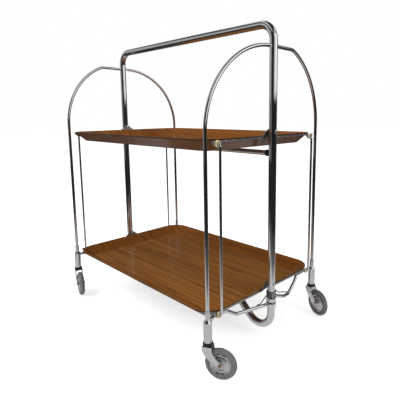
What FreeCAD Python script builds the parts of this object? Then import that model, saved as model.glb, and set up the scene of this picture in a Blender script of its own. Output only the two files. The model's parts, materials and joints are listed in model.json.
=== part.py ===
import FreeCAD, Part
import math
import os

# Folding tea trolley. +Z is up, the floor is Z = 0, X runs along the trays and the origin is under
# the middle of the footprint. Front is -Y, back is +Y, right is +X and left is -X.

from FreeCAD import Placement, Rotation, Vector

doc = FreeCAD.newDocument("tea_trolley")
sheet = doc.addObject("Spreadsheet::Sheet", "Sizes")

SIZES = [
    # central loop
    ("tube_radius", 9.0, "outer radius of the loop tube"),
    ("tube_wall", 1.5, "wall of the loop tube"),
    ("tray_end_gap", 1.5, "gap between a tray's rim and an upright"),
    ("tube_x", "=tray_half_length + tray_end_gap + tube_radius", "centre of each upright from the middle"),
    ("handle_z", 743.0, "centre of the handle bar"),
    ("handle_bend", 36.0, "bend radius at the handle corners"),
    ("foot_bend", 39.0, "bend radius of each foot loop"),
    ("foot_centre_z", 72.0, "height at which an upright turns into its foot loop"),
    ("foot_slope", 41.0, "angle of the tube that rises from a foot loop"),
    ("bottom_run_gap", 5.0, "gap between the lower tray and the run under it"),
    ("bottom_run_z", "=lower_rim_z - tray_depth - bottom_run_gap - tube_radius",
     "centre of the run under the lower tray"),
    ("crossbar_radius", 6.0, "radius of the upper crossbar"),
    ("crossbar_drop", 40.0, "crossbar centre below the upper rim"),
    ("crossbar_end_gap", 5.0, "gap between the crossbar's ends and the uprights"),
    ("cap_wall", 1.6, "wall of a crossbar cap"),
    ("cap_length", 10.0, "length of a crossbar cap"),
    ("cap_saddle", 2.0, "how far a crossbar cap wraps its upright"),
    # trays
    ("lower_rim_z", 137.0, "rim of the lower tray"),
    ("upper_rim_z", 499.0, "rim of the upper tray"),
    ("tray_half_length", 297.5, "half length of a tray over its rim"),
    ("tray_half_width", 197.5, "half width of a tray over its rim"),
    ("tray_corner", 50.0, "corner radius of a tray rim"),
    ("tray_depth", 26.0, "rim to underside"),
    ("tray_flare", 29.0, "how far the walls lean out"),
    ("tray_floor", 3.0, "thickness of the tray floor"),
    ("lip_height", 2.5, "thickness of the rim lip"),
    ("lip_inset", "=2 * (plate_thickness + plate_gap) - tray_end_gap",
     "overhang of the lip past the wall, which covers the two end plates"),
    ("lip_width", 4.5, "width of the rim lip seen from above"),
    ("seam_gap", 1.2, "gap between the two leaves of a tray"),
    ("notch_reach", 28.0, "length of the notch in the rim beside an upright"),
    ("notch_inset", 3.6, "depth of that notch"),
    # leaf hinges
    ("pivot_rise", 9.0, "leaf pivot above the rim"),
    ("pivot_radius", 2.5, "radius of a pivot rivet"),
    ("pivot_fit", 0.08, "radial running fit of a pivot"),
    ("plate_thickness", 1.7, "sheet thickness of an end plate"),
    ("plate_gap", 0.2, "gap between stacked sheets and between sheet and tube"),
    ("band_height", 4.4, "height of the end plate under the lip"),
    ("ear_radius", 5.6, "radius of the ear round the pivot"),
    ("ear_foot", 26.0, "where the ear meets the band, from the pivot"),
    ("gusset_drop", 14.5, "depth of the gusset that carries the rod bush"),
    ("gusset_half", 15.0, "half width of the gusset"),
    ("gusset_nose", 5.5, "half width of the gusset's lower edge"),
    ("rivet_radius", 1.6, "radius of a plate rivet"),
    ("rivet_head", "=(band_height + plate_gap) / 2", "radius of a plate rivet's head, clear of the lip"),
    ("rivet_crown", 0.8, "rounding of a plate rivet's head"),
    ("rivet_seat", 0.05, "gap between a rivet's inner head and the leaning wall"),
    ("rivet_margin", 6.0, "inner plate rivet beyond the notch"),
    ("rivet_to_rod", 25.0, "outer plate rivet from the rod bush"),
    # rods that link upper and lower leaves
    ("rod_radius", 2.75, "radius of a link rod"),
    ("rod_inset", 3.0, "link rod inside the axis of the uprights, along the trays"),
    ("rod_x", "=tube_x - rod_inset", "centre of a link rod from the middle"),
    ("rod_margin", 32.5, "rod bush inside the long edge of a tray"),
    ("rod_y", "=tray_half_width - rod_margin", "rod bush from the centre line"),
    ("rod_drop", 9.0, "rod bush below the rim"),
    ("rod_bend", 6.0, "bend radius of a rod end"),
    ("bush_radius", 4.0, "radius of a bush in its plate"),
    ("bush_flange", 5.4, "radius of a bush flange"),
    ("bush_back", 2.0, "bush behind its plate"),
    ("bush_play", 0.4, "bush flange past the start of the rod's bend"),
    ("rod_tail", 1.5, "end of a link rod behind its plate"),
    ("rod_fit", 0.08, "radial running fit of a rod in the upper bush"),
    ("rod_slack", 0.35, "radial clearance of a rod in the lower bush"),
    # swinging legs
    ("leg_radius", 4.0, "radius of a leg rod"),
    ("leg_inset", 12.0, "leg axis inside the axis of the uprights, along the trays"),
    ("leg_x", "=tube_x - leg_inset", "leg axis from the middle, along the trays"),
    ("leg_margin", 0.5, "leg axis inside the long edge of a tray"),
    ("leg_y", "=tray_half_width - leg_margin", "leg axis from the centre line"),
    ("arch_drop", 49.0, "leg rods below the handle where they enter the upright"),
    ("arch_z", "=handle_z - arch_drop", "centre of the leg rods where they enter the upright"),
    ("arch_start", 12.0, "end of the arch, from the centre line"),
    ("arch_bend", "=leg_y - arch_start", "radius of the arch"),
    ("shoulder_rise", 12.0, "extra height of the shouldered arch"),
    ("shoulder_bend", 16.0, "bend radius at the shoulder"),
    ("leg_fold", 12.0, "swing of a leg when its leaf is upright"),
    ("slot_height", 4.2, "height of a slot for a rod end"),
    ("tang_play", 0.5, "vertical play of a rod end in its slot"),
    ("tang_height", "=slot_height - tang_play", "height of the flattened rod end"),
    ("tang_half_width", 3.0, "half width of the flattened rod end"),
    ("eye_gap", 0.7, "gap between the eye and the wall of the upright"),
    ("eye_radius", "=tube_radius - tube_wall - eye_gap", "radius of the eye inside the upright"),
    ("spindle_radius", 3.0, "radius of the hinge spindle inside the upright"),
    ("plug_height", 5.5, "height of each plug that holds the spindle in the upright"),
    ("plug_gap", 0.5, "gap between a plug and the slots"),
    ("hinge_fit", 0.08, "radial running fit of a leg hinge"),
    ("rod_end_gap", 0.6, "gap between the full rod and the upright"),
    ("rod_end", "=tube_radius + rod_end_gap", "where the full rod stops, from the axis of the upright"),
    ("ferrule_wall", 1.2, "wall of the ferrule at the foot of a leg"),
    ("ferrule_radius", "=leg_radius + ferrule_wall", "radius of the ferrule at the foot of a leg"),
    ("ferrule_drop", 8.0, "lower end of the ferrule, below the lower rim"),
    ("ferrule_z", "=lower_rim_z - ferrule_drop", "lower end of the ferrule"),
    ("ferrule_length", 19.0, "length of the ferrule"),
    ("ferrule_top", "=ferrule_z + ferrule_length", "upper end of the ferrule"),
    ("sleeve_radius", 9.0, "radius of the caster sleeve"),
    ("sleeve_z", "=ring_z + ring_height", "lower end of the caster sleeve"),
    ("leg_seat", 28.0, "foot of a leg rod above the lower end of its sleeve"),
    ("sleeve_shoulder", 6.0, "height of the cone at the top of the sleeve"),
    ("arm_radius", 4.0, "radius of a lower arm"),
    ("arm_start", 10.0, "arm above the lower end of the hinge sleeves"),
    ("arm_start_z", "=hinge_sleeve_z + arm_start", "height of an arm at its hinge sleeve"),
    ("arm_knee", 34.0, "first bend of an arm, from the hinge axis"),
    ("arm_elbow", 101.0, "elbow of an arm, from the hinge axis"),
    ("arm_drop", 2.0, "fall of a plain arm to its elbow"),
    ("arm_dip", 16.0, "how far the shouldered leg's arm dips at its elbow"),
    ("arm_knee_rise", 8.0, "knee of the dipped arm above its elbow"),
    ("arm_elbow_shift", 11.0, "elbow of the dipped arm nearer to the hinge axis"),
    ("arm_end_drop", 20.0, "end of an arm below the lower rim"),
    ("arm_end_z", "=lower_rim_z - arm_end_drop", "height of an arm where it joins the caster sleeve"),
    ("arm_rise", 36.0, "slope of the rise behind an elbow"),
    ("arm_rise_more", 7.0, "steeper rise of the dipped arm"),
    ("arm_bend", 14.0, "bend radius of an arm"),
    ("arm_knee_bend", 28.0, "bend radius at the knee of an arm"),
    ("hinge_sleeve_wall", 2.5, "hinge sleeve outside the upright"),
    ("hinge_sleeve_radius", "=tube_radius + hinge_sleeve_wall", "outer radius of a hinge sleeve"),
    ("hinge_sleeve_height", 13.0, "height of one hinge sleeve"),
    ("hinge_stack_gap", 0.3, "gap between stacked hinge sleeves"),
    ("spring_cup_drop", 8.0, "top of the spring cup below the lower rim"),
    ("spring_cup_top", "=lower_rim_z - spring_cup_drop", "top of the spring cup"),
    ("spring_cup_height", 12.4, "height of the spring cup"),
    ("hinge_sleeve_z", "=spring_cup_top - spring_cup_height - 2 * (hinge_sleeve_height + hinge_stack_gap)",
     "lower end of the two hinge sleeves"),
    ("wire_radius", 1.0, "radius of the spring wire"),
    ("wire_gap", 0.3, "gap between the wire and what it passes"),
    ("wire_drop", 6.0, "start of the wire below the top of its cup"),
    ("wire_out", 3.2, "fall of the wire outside the cup"),
    ("wire_knee", 16.0, "lower bend of the wire above the arm"),
    ("wire_reach", 20.0, "where the wire meets the arm, beyond its fall"),
    ("wire_tip", 44.0, "tip of the wire, beyond its fall"),
    # casters
    ("ring_radius", 11.0, "radius of the black ring"),
    ("ring_height", 7.2, "height of the black ring"),
    ("ring_gap", 0.4, "gap between a fork and the black ring"),
    ("ring_z", "=fork_top + ring_gap", "lower end of the black ring"),
    ("stem_radius", 3.0, "radius of a caster stem"),
    ("stem_length", 24.0, "caster stem inside its sleeve"),
    ("stem_top", "=sleeve_z + stem_length", "upper end of a caster stem"),
    ("stem_fit", 0.08, "radial running fit of a caster stem"),
    ("fork_rise", 2.4, "top of a caster fork above the top of its wheel"),
    ("fork_top", "=2 * wheel_radius + fork_rise", "top of a caster fork"),
    ("fork_sheet", 2.0, "sheet thickness of a caster fork"),
    ("fork_crown", 11.0, "half length of the flat top of a fork"),
    ("fork_eye", 6.5, "radius of a fork cheek round its axle"),
    ("fork_edge", 1.5, "rounding of the crown's edge"),
    ("fork_front", 8.0, "depth of the fork's front edge under its top"),
    ("fork_back", 9.0, "depth of the fork's back edge under its top"),
    ("fork_swell", 5.5, "how far the back of a cheek swells past the crown"),
    ("fork_swell_drop", 19.0, "swell of a cheek below the top"),
    ("fork_play", 1.5, "gap between a wheel and a cheek of its fork"),
    ("fork_gap", "=wheel_width + 2 * fork_play", "gap between the cheeks of a fork"),
    ("trail", 28.0, "axle behind the swivel axis"),
    ("wheel_radius", 35.0, "radius of a wheel"),
    ("wheel_width", 14.0, "width of a wheel over its tyre"),
    ("tyre_height", 11.0, "height of a tyre outside its hub"),
    ("hub_radius", "=wheel_radius - tyre_height", "radius of a hub disc"),
    ("axle_radius", 3.0, "radius of a wheel axle"),
    ("axle_fit", 0.08, "radial running fit of a wheel on its axle"),
]

for row, (alias, value, meaning) in enumerate(SIZES, start=1):
    sheet.set("A%d" % row, meaning)
    sheet.setAlias("B%d" % row, alias)
for row, (alias, value, meaning) in enumerate(SIZES, start=1):
    sheet.set("B%d" % row, str(value))
doc.recompute()


def size(alias):
    return float(sheet.get(alias))


PARTS = {}          # node name -> object that is exported


def node(obj, name):
    obj.Label = name
    PARTS[name] = obj
    return obj


def bind(obj, **expressions):
    for prop, expression in expressions.items():
        obj.setExpression(prop, expression)
    return obj


# ---------------------------------------------------------------- sketch and body helpers

def new_body(name):
    return doc.addObject("PartDesign::Body", name)


def plane_of(body, role):
    return next(f for f in body.Origin.OriginFeatures if f.Role == role)


def new_sketch(body, role, offset=0.0, name="Sketch"):
    """A sketch on one of the body's own planes, moved along that plane's normal."""
    sketch = body.newObject("Sketcher::SketchObject", name)
    sketch.AttachmentSupport = [(plane_of(body, role), "")]
    sketch.MapMode = "FlatFace"
    sketch.AttachmentOffset = Placement(Vector(0, 0, offset), Rotation())
    return sketch


def add_polygon(sketch, points):
    for start, end in zip(points, points[1:] + points[:1]):
        sketch.addGeometry(Part.LineSegment(Vector(*start, 0), Vector(*end, 0)))


def add_circle(sketch, centre, radius):
    sketch.addGeometry(Part.Circle(Vector(centre[0], centre[1], 0), Vector(0, 0, 1), radius))


def pad(body, sketch, length, midplane=False, reverse=False):
    feature = body.newObject("PartDesign::Pad", "Pad")
    feature.Profile = sketch
    if isinstance(length, str):
        feature.setExpression("Length", length)
    else:
        feature.Length = length
    feature.Midplane = midplane
    feature.Reversed = reverse
    return feature


def cut_through(body, sketch):
    feature = body.newObject("PartDesign::Pocket", "Pocket")
    feature.Profile = sketch
    feature.Type = 1
    feature.Midplane = True
    return feature


def bent_path(points, radii):
    """Straight runs through the points, joined by tangent arcs of the given radii."""
    points = [Vector(*p) for p in points]
    edges = []
    start = points[0]
    for corner, following, radius in zip(points[1:-1], points[2:], radii):
        before = (corner - start).normalize()
        after = (following - corner).normalize()
        turn = before.getAngle(after)
        setback = radius * math.tan(turn / 2)
        arc_start = corner - before * setback
        arc_end = corner + after * setback
        towards = (after - before).normalize()
        middle = corner + towards * (radius / math.cos(turn / 2) - radius)
        edges.append(Part.LineSegment(start, arc_start))
        edges.append(Part.Arc(arc_start, middle, arc_end))
        start = arc_end
    edges.append(Part.LineSegment(start, points[-1]))
    return edges


def pipe(body, path_role, edges, profile_role, profile_offset, centre, radius, bore=None):
    """A round tube or rod swept along edges drawn on one plane of the body."""
    spine = new_sketch(body, path_role, 0.0, "Spine")
    for edge in edges:
        spine.addGeometry(edge)
    section = new_sketch(body, profile_role, profile_offset, "Section")
    add_circle(section, centre, radius)
    if bore:
        add_circle(section, centre, bore)
    doc.recompute()
    sweep = body.newObject("PartDesign::AdditivePipe", "Pipe")
    sweep.Profile = section
    sweep.Spine = (spine, [])
    doc.recompute()
    return sweep


def revolve(body, profile):
    """A solid of revolution about the body's Z axis from (radius, height) points."""
    sketch = new_sketch(body, "XZ_Plane", 0.0, "Profile")
    add_polygon(sketch, profile)
    feature = body.newObject("PartDesign::Revolution", "Revolution")
    feature.Profile = sketch
    feature.ReferenceAxis = (sketch, ["V_Axis"])
    feature.Angle = 360.0
    return feature


def cylinder(name, radius, height, base, axis=Vector(0, 0, 1)):
    solid = doc.addObject("Part::Cylinder", name)
    bind(solid, Radius=radius, Height=height)
    solid.Placement = Placement(base, Rotation(Vector(0, 0, 1), axis))
    return solid


def joined(name, pieces):
    group = doc.addObject("Part::MultiFuse", name)
    group.Shapes = pieces
    return group


def minus(name, base, tools):
    tool = tools[0] if len(tools) == 1 else joined(name + "_tools", tools)
    result = doc.addObject("Part::Cut", name)
    result.Base = base
    result.Tool = tool
    return result


def cluster(name, pieces):
    """Several separate solids that share one node."""
    group = doc.addObject("Part::Compound", name)
    group.Links = pieces
    return group


# ---------------------------------------------------------------- driving places

LEG_REACH = math.hypot(size("tube_x") - size("leg_x"), size("leg_y"))
REST_ANGLE = math.degrees(math.atan2(size("tube_x") - size("leg_x"), size("leg_y")))
RIMS = {"upper": size("upper_rim_z"), "lower": size("lower_rim_z")}
SIDES = {"front": -1, "back": 1}
ENDS = {"right": 1, "left": -1}


def has_shoulder(side, end):
    """The trolley has a half-turn symmetry: two opposite legs carry the shouldered arch."""
    return SIDES[side] * ENDS[end] > 0


def leg_placement(side, end):
    """Local X runs from the axis of the upright to the leg."""
    angle = math.degrees(math.atan2(SIDES[side] * size("leg_y"),
                                    ENDS[end] * (size("leg_x") - size("tube_x"))))
    return Placement(Vector(ENDS[end] * size("tube_x"), 0, 0), Rotation(Vector(0, 0, 1), angle))


# ---------------------------------------------------------------- central loop

def build_loop():
    body = new_body("loop_tube")
    tube_x = size("tube_x")
    slope = math.radians(size("foot_slope"))
    bend = size("foot_bend")
    foot_x = tube_x - bend
    foot_z = size("foot_centre_z")
    run_z = size("bottom_run_z")
    handle_z = size("handle_z")
    leave = Vector(foot_x - bend * math.sin(slope), foot_z - bend * math.cos(slope), 0)
    corner_x = leave.x - (run_z - leave.y) / math.tan(slope)
    # right half: bottom run, rise, foot loop, upright, handle
    setback = bend * math.tan(slope / 2)
    rise_start = Vector(corner_x + setback * math.cos(slope), run_z - setback * math.sin(slope), 0)
    run_end = Vector(corner_x - setback, run_z, 0)
    run_bend_centre = Vector(run_end.x, run_z - bend, 0)
    half = slope / 2
    run_bend_middle = run_bend_centre + Vector(bend * math.sin(half), bend * math.cos(half), 0)
    foot_middle_angle = (-math.pi / 2 - slope + 0.0) / 2
    foot_middle = Vector(foot_x + bend * math.cos(foot_middle_angle),
                         foot_z + bend * math.sin(foot_middle_angle), 0)
    corner = size("handle_bend")
    upright_top = Vector(tube_x, handle_z - corner, 0)
    handle_start = Vector(tube_x - corner, handle_z, 0)
    diagonal = corner * math.sqrt(0.5)
    corner_middle = Vector(tube_x - corner + diagonal, handle_z - corner + diagonal, 0)
    edges = [
        Part.LineSegment(Vector(0, run_z, 0), run_end),
        Part.Arc(run_end, run_bend_middle, rise_start),
        Part.LineSegment(rise_start, leave),
        Part.Arc(leave, foot_middle, Vector(tube_x, foot_z, 0)),
        Part.LineSegment(Vector(tube_x, foot_z, 0), upright_top),
        Part.Arc(upright_top, corner_middle, handle_start),
        Part.LineSegment(handle_start, Vector(0, handle_z, 0)),
    ]
    inner = size("tube_radius") - size("tube_wall")
    sweep = pipe(body, "XZ_Plane", edges, "YZ_Plane", 0.0, (0, run_z), size("tube_radius"), inner)
    mirror = body.newObject("PartDesign::Mirrored", "Mirrored")
    mirror.Originals = [sweep]
    mirror.MirrorPlane = (plane_of(body, "YZ_Plane"), [""])
    body.Tip = mirror
    doc.recompute()
    cuts = []
    half_slot = math.degrees(math.asin((size("tang_half_width") + 0.2) / inner)) + 0.5
    for side in SIDES:
        for end in ENDS:
            upper = has_shoulder(side, end)
            sector = doc.addObject("Part::Cylinder", "slot_%s_%s" % (side, end))
            bind(sector, Radius="Sizes.tube_radius + 4", Height="Sizes.slot_height")
            sector.Angle = size("leg_fold") + 2 * half_slot
            base_z = size("arch_z") + (0.0 if upper else -size("slot_height"))
            place = leg_placement(side, end)
            inward = -1 if SIDES[side] * ENDS[end] < 0 else 1
            first = -half_slot if inward > 0 else -size("leg_fold") - half_slot
            turned = place.multiply(Placement(Vector(0, 0, base_z), Rotation(Vector(0, 0, 1), first)))
            sector.Placement = turned
            cuts.append(sector)
    for rim in RIMS.values():
        hole = cylinder("pivot_hole", "Sizes.pivot_radius + Sizes.pivot_fit", "2 * Sizes.tube_x + 40",
                        Vector(-tube_x - 20, 0, rim + size("pivot_rise")), Vector(1, 0, 0))
        cuts.append(hole)
    return node(minus("central_loop_cut", body, cuts), "central_loop")


def build_crossbar():
    inner_end = size("tube_x") - size("tube_radius")
    z = size("upper_rim_z") - size("crossbar_drop")
    bar = cylinder("crossbar_bar", "Sizes.crossbar_radius",
                   "2 * (Sizes.tube_x - Sizes.tube_radius - Sizes.crossbar_end_gap)",
                   Vector(-inner_end + size("crossbar_end_gap"), 0, z), Vector(1, 0, 0))
    node(bar, "upper_crossbar")
    caps = []
    length = size("cap_length")
    saddle = inner_end + size("cap_saddle")
    seat = inner_end - size("crossbar_end_gap")
    for sign in (-1, 1):
        collar = cylinder("crossbar_cap", "Sizes.crossbar_radius + Sizes.cap_wall", "Sizes.cap_length",
                          Vector(sign * saddle - (0 if sign < 0 else length), 0, z), Vector(1, 0, 0))
        bore = cylinder("crossbar_cap_bore", "Sizes.crossbar_radius", "2 * Sizes.cap_length",
                        Vector(sign * seat - (2 * length if sign > 0 else 0), 0, z), Vector(1, 0, 0))
        upright = cylinder("crossbar_cap_seat", "Sizes.tube_radius", "40",
                           Vector(sign * size("tube_x"), 0, z - 20))
        caps.append(minus("crossbar_cap_cut", collar, [bore, upright]))
    node(cluster("crossbar_caps_group", caps), "crossbar_caps")


def build_spindles():
    plug_height = size("plug_height")
    half = size("slot_height") + size("plug_gap") + plug_height
    low = size("arch_z") - half
    high = size("arch_z") + half
    plug = size("tube_radius") - size("tube_wall")
    spools = []
    for sign in (-1, 1):
        body = new_body("spindle")
        radius = size("spindle_radius")
        revolve(body, [(0, low), (plug, low), (plug, low + plug_height), (radius, low + plug_height),
                       (radius, high - plug_height), (plug, high - plug_height), (plug, high), (0, high)])
        body.Placement = Placement(Vector(sign * size("tube_x"), 0, 0), Rotation())
        spools.append(body)
    node(cluster("spindle_group", spools), "leg_hinge_spindles")


def build_pivot_rivets():
    rivets = []
    reach = size("tube_radius") + 2 * (size("plate_thickness") + size("plate_gap")) + 0.3
    for rim in RIMS.values():
        for sign in (-1, 1):
            body = new_body("pivot_rivet")
            radius = size("pivot_radius")
            outer = size("tube_radius") + 0.1
            revolve(body, [(0, -reach - 2.4), (2.0, -reach - 2.2), (3.8, -reach - 1.2), (4.4, -reach),
                           (radius, -reach), (radius, outer), (4.6, outer), (4.0, outer + 1.2),
                           (2.2, outer + 2.2), (0, outer + 2.4)])
            body.Placement = Placement(Vector(sign * size("tube_x"), 0, rim + size("pivot_rise")),
                                       Rotation(Vector(0, 0, 1), Vector(sign, 0, 0)))
            rivets.append(body)
    node(cluster("pivot_rivet_group", rivets), "leaf_pivot_rivets")


# ---------------------------------------------------------------- trays

def leaf_outline(sketch, inset, seam):
    """Half a tray: straight along the seam, rounded at its two outer corners."""
    half_x = size("tray_half_length") - inset
    outer_y = -size("tray_half_width") + inset
    corner = max(size("tray_corner") - inset, 2.0)
    left = Vector(-half_x + corner, outer_y + corner, 0)
    right = Vector(half_x - corner, outer_y + corner, 0)
    up = Vector(0, 0, 1)
    sketch.addGeometry(Part.LineSegment(Vector(half_x, seam, 0), Vector(-half_x, seam, 0)))
    sketch.addGeometry(Part.LineSegment(Vector(-half_x, seam, 0), Vector(-half_x, left.y, 0)))
    sketch.addGeometry(Part.ArcOfCircle(Part.Circle(left, up, corner), math.pi, 1.5 * math.pi))
    sketch.addGeometry(Part.LineSegment(Vector(left.x, outer_y, 0), Vector(right.x, outer_y, 0)))
    sketch.addGeometry(Part.ArcOfCircle(Part.Circle(right, up, corner), 1.5 * math.pi, 2 * math.pi))
    sketch.addGeometry(Part.LineSegment(Vector(half_x, right.y, 0), Vector(half_x, seam, 0)))


def build_leaf(level, side):
    """A moulded half tray. It is drawn for the front and turned half round for the back."""
    body = new_body("%s_%s_leaf_body" % (level, side))
    depth = size("tray_depth")
    flare = size("tray_flare")
    lip_inset = size("lip_inset")
    lip = size("lip_height")
    floor = size("tray_floor")
    seam = -size("seam_gap") / 2
    bottom = new_sketch(body, "XY_Plane", -depth, "Underside")
    leaf_outline(bottom, flare, seam)
    shoulder = new_sketch(body, "XY_Plane", -lip, "Under_lip")
    leaf_outline(shoulder, lip_inset, seam)
    doc.recompute()
    shell = body.newObject("PartDesign::AdditiveLoft", "Shell")
    shell.Profile = bottom
    shell.Sections = [(shoulder, [""])]
    shell.Ruled = True
    doc.recompute()
    rim = new_sketch(body, "XY_Plane", -lip, "Lip")
    leaf_outline(rim, 0.0, seam)
    pad(body, rim, "Sizes.lip_height")
    doc.recompute()
    wall_slope = (flare - lip_inset) / (depth - lip)
    inner_top = size("lip_width")
    inner_low = inner_top + wall_slope * (depth - floor)
    hollow_low = new_sketch(body, "XY_Plane", -(depth - floor), "Floor")
    leaf_outline(hollow_low, inner_low, 1.0)
    hollow_top = new_sketch(body, "XY_Plane", 0.5, "Mouth")
    leaf_outline(hollow_top, inner_top - 0.5 * wall_slope, 1.0)
    doc.recompute()
    hollow = body.newObject("PartDesign::SubtractiveLoft", "Hollow")
    hollow.Profile = hollow_low
    hollow.Sections = [(hollow_top, [""])]
    hollow.Ruled = True
    doc.recompute()
    # notches beside the uprights
    reach = size("notch_reach")
    edge = size("tray_half_length") - size("notch_inset")
    notch = new_sketch(body, "XY_Plane", 0.0, "Notch")
    for sign in (-1, 1):
        far = sign * (edge + 20)
        near = sign * edge
        add_polygon(notch, [(near, -reach), (far, -reach), (far, 5.0), (near, 5.0)])
    cut_through(body, notch)
    holes = new_sketch(body, "YZ_Plane", 0.0, "Rivet_holes")
    for y in rivet_places():
        add_circle(holes, (y, rivet_height()), size("rivet_radius"))
    cut_through(body, holes)
    doc.recompute()
    turn = 0 if side == "front" else 180
    body.Placement = Placement(Vector(0, 0, RIMS[level]), Rotation(Vector(0, 0, 1), turn))
    return node(body, "%s_%s_leaf" % (level, side))


def rivet_places():
    return (-(size("notch_reach") + size("rivet_margin")), -(size("rod_y") - size("rivet_to_rod")))


def rivet_height():
    return -(size("lip_height") + size("plate_gap") + size("band_height") / 2)


def plate_x(side, end):
    """Inner face of an end plate: the two plates of one end lie one outside the other."""
    outside = size("tube_x") - size("tube_radius") - size("plate_gap") - size("plate_thickness")
    inside = outside - size("plate_thickness") - size("plate_gap")
    return inside if SIDES[side] * ENDS[end] < 0 else outside


def build_end_plates(level, side):
    plates = []
    for end in ENDS:
        body = new_body("%s_%s_%s_plate" % (level, side, end))
        top = -(size("lip_height") + size("plate_gap"))
        low = top - size("band_height")
        rise = size("pivot_rise")
        ear = size("ear_radius")
        foot = size("ear_foot")
        rod_y = size("rod_y")
        drop = size("rod_drop")
        half = size("gusset_half")
        # the slanted edge of the ear is tangent to its round end
        span = math.hypot(foot, rise - top)
        lean = math.atan2(rise - top, foot) + math.asin(ear / span)
        tangent = Vector(-ear * math.sin(lean), rise + ear * math.cos(lean), 0)
        outline = new_sketch(body, "YZ_Plane", 0.0, "Outline")
        right = Vector(ear, rise, 0)
        crown_angle = (math.atan2(tangent.y - rise, tangent.x) + 0.0) / 2
        crown = Vector(ear * math.cos(crown_angle), rise + ear * math.sin(crown_angle), 0)
        gusset_low = -size("gusset_drop")
        nose = size("gusset_nose")
        points = [tangent, Vector(-foot, top, 0), Vector(-rod_y - half, top, 0),
                  Vector(-rod_y - half, low, 0), Vector(-rod_y - nose, gusset_low, 0),
                  Vector(-rod_y + nose, gusset_low, 0), Vector(-rod_y + half, low, 0),
                  Vector(-foot + 6, low, 0), Vector(-ear - 2, low + 4, 0), Vector(ear, rise - 6, 0), right]
        for start, stop in zip(points, points[1:]):
            outline.addGeometry(Part.LineSegment(start, stop))
        outline.addGeometry(Part.Arc(right, crown, tangent))
        add_circle(outline, (0, rise), size("pivot_radius") + size("pivot_fit"))
        add_circle(outline, (-rod_y, -drop), size("bush_radius"))
        for y in rivet_places():
            add_circle(outline, (y, rivet_height()), size("rivet_radius"))
        pad(body, outline, "Sizes.plate_thickness")
        turn = 0 if side == "front" else 180
        # a sheet drawn at X = 0 is moved out to its end; on the other end it is laid the same way round
        local_end = ENDS[end] if side == "front" else -ENDS[end]
        inner = plate_x(side, end)
        offset = inner if local_end > 0 else -inner - size("plate_thickness")
        place = Placement(Vector(0, 0, RIMS[level]), Rotation(Vector(0, 0, 1), turn))
        body.Placement = place.multiply(Placement(Vector(offset, 0, 0), Rotation()))
        plates.append(body)
    return node(cluster("%s_%s_plates_group" % (level, side), plates), "%s_%s_end_plates" % (level, side))


def build_plate_rivets(level, side):
    rivets = []
    turn = Rotation(Vector(0, 0, 1), 0 if side == "front" else 180)
    wall_slope = (size("tray_flare") - size("lip_inset")) / (size("tray_depth") - size("lip_height"))
    wall_inner = size("tray_half_length") - size("lip_width") + wall_slope * rivet_height()
    for end in ENDS:
        local_end = ENDS[end] if side == "front" else -ENDS[end]
        for y in rivet_places():
            body = new_body("plate_rivet")
            radius = size("rivet_radius")
            head = size("rivet_head")
            start = wall_inner - wall_slope * head - size("rivet_seat")
            stop = plate_x(side, end) + size("plate_thickness")
            crown = head - size("rivet_crown")
            revolve(body, [(0, start - 1.0), (crown, start - 0.6), (head, start), (radius, start),
                           (radius, stop), (head, stop), (crown, stop + 0.6), (0, stop + 0.9)])
            local = Placement(Vector(0, y, RIMS[level] + rivet_height()),
                              Rotation(Vector(0, 0, 1), Vector(local_end, 0, 0)))
            body.Placement = Placement(Vector(), turn).multiply(local)
            rivets.append(body)
    return node(cluster("%s_%s_rivet_group" % (level, side), rivets), "%s_%s_plate_rivets" % (level, side))


def build_bushes(level, side):
    bushes = []
    clearance = "Sizes.rod_fit" if level == "upper" else "Sizes.rod_slack"
    for end in ENDS:
        sign = ENDS[end]
        inner = plate_x(side, end)
        thickness = size("plate_thickness")
        flange_end = size("rod_x") - size("rod_bend") + size("bush_play")
        y = SIDES[side] * size("rod_y")
        z = RIMS[level] - size("rod_drop")

        def along(start, stop, radius, name):
            low, high = sorted((sign * start, sign * stop))
            return cylinder(name, radius, "%f" % (high - low), Vector(low, y, z), Vector(1, 0, 0))

        barrel = along(inner - size("bush_back"), inner + thickness, "Sizes.bush_radius", "bush_barrel")
        flange = along(inner + thickness, flange_end, "Sizes.bush_flange", "bush_flange")
        bore = along(inner - 6.0, flange_end + 6, "Sizes.rod_radius + " + clearance, "bush_bore")
        bushes.append(minus("bush", joined("bush_body", [barrel, flange]), [bore]))
    return node(cluster("%s_%s_bush_group" % (level, side), bushes), "%s_%s_rod_bushes" % (level, side))


# ---------------------------------------------------------------- link rods

def build_rods(side):
    rods = []
    for end in ENDS:
        body = new_body("%s_%s_rod" % (side, end))
        start_x = plate_x(side, end) - size("rod_tail")
        rod_x = size("rod_x")
        high = size("upper_rim_z") - size("rod_drop")
        low = size("lower_rim_z") - size("rod_drop")
        bend = size("rod_bend")
        edges = bent_path([(start_x, high, 0), (rod_x, high, 0), (rod_x, low, 0), (start_x, low, 0)],
                          [bend, bend])
        pipe(body, "XZ_Plane", edges, "YZ_Plane", start_x, (0, high), size("rod_radius"))
        turn = 0 if end == "right" else 180
        body.Placement = Placement(Vector(0, SIDES[side] * size("rod_y"), 0),
                                   Rotation(Vector(0, 0, 1), turn))
        rods.append(body)
    return node(cluster("%s_rod_group" % side, rods), "%s_link_rods" % side)


# ---------------------------------------------------------------- legs

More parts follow.
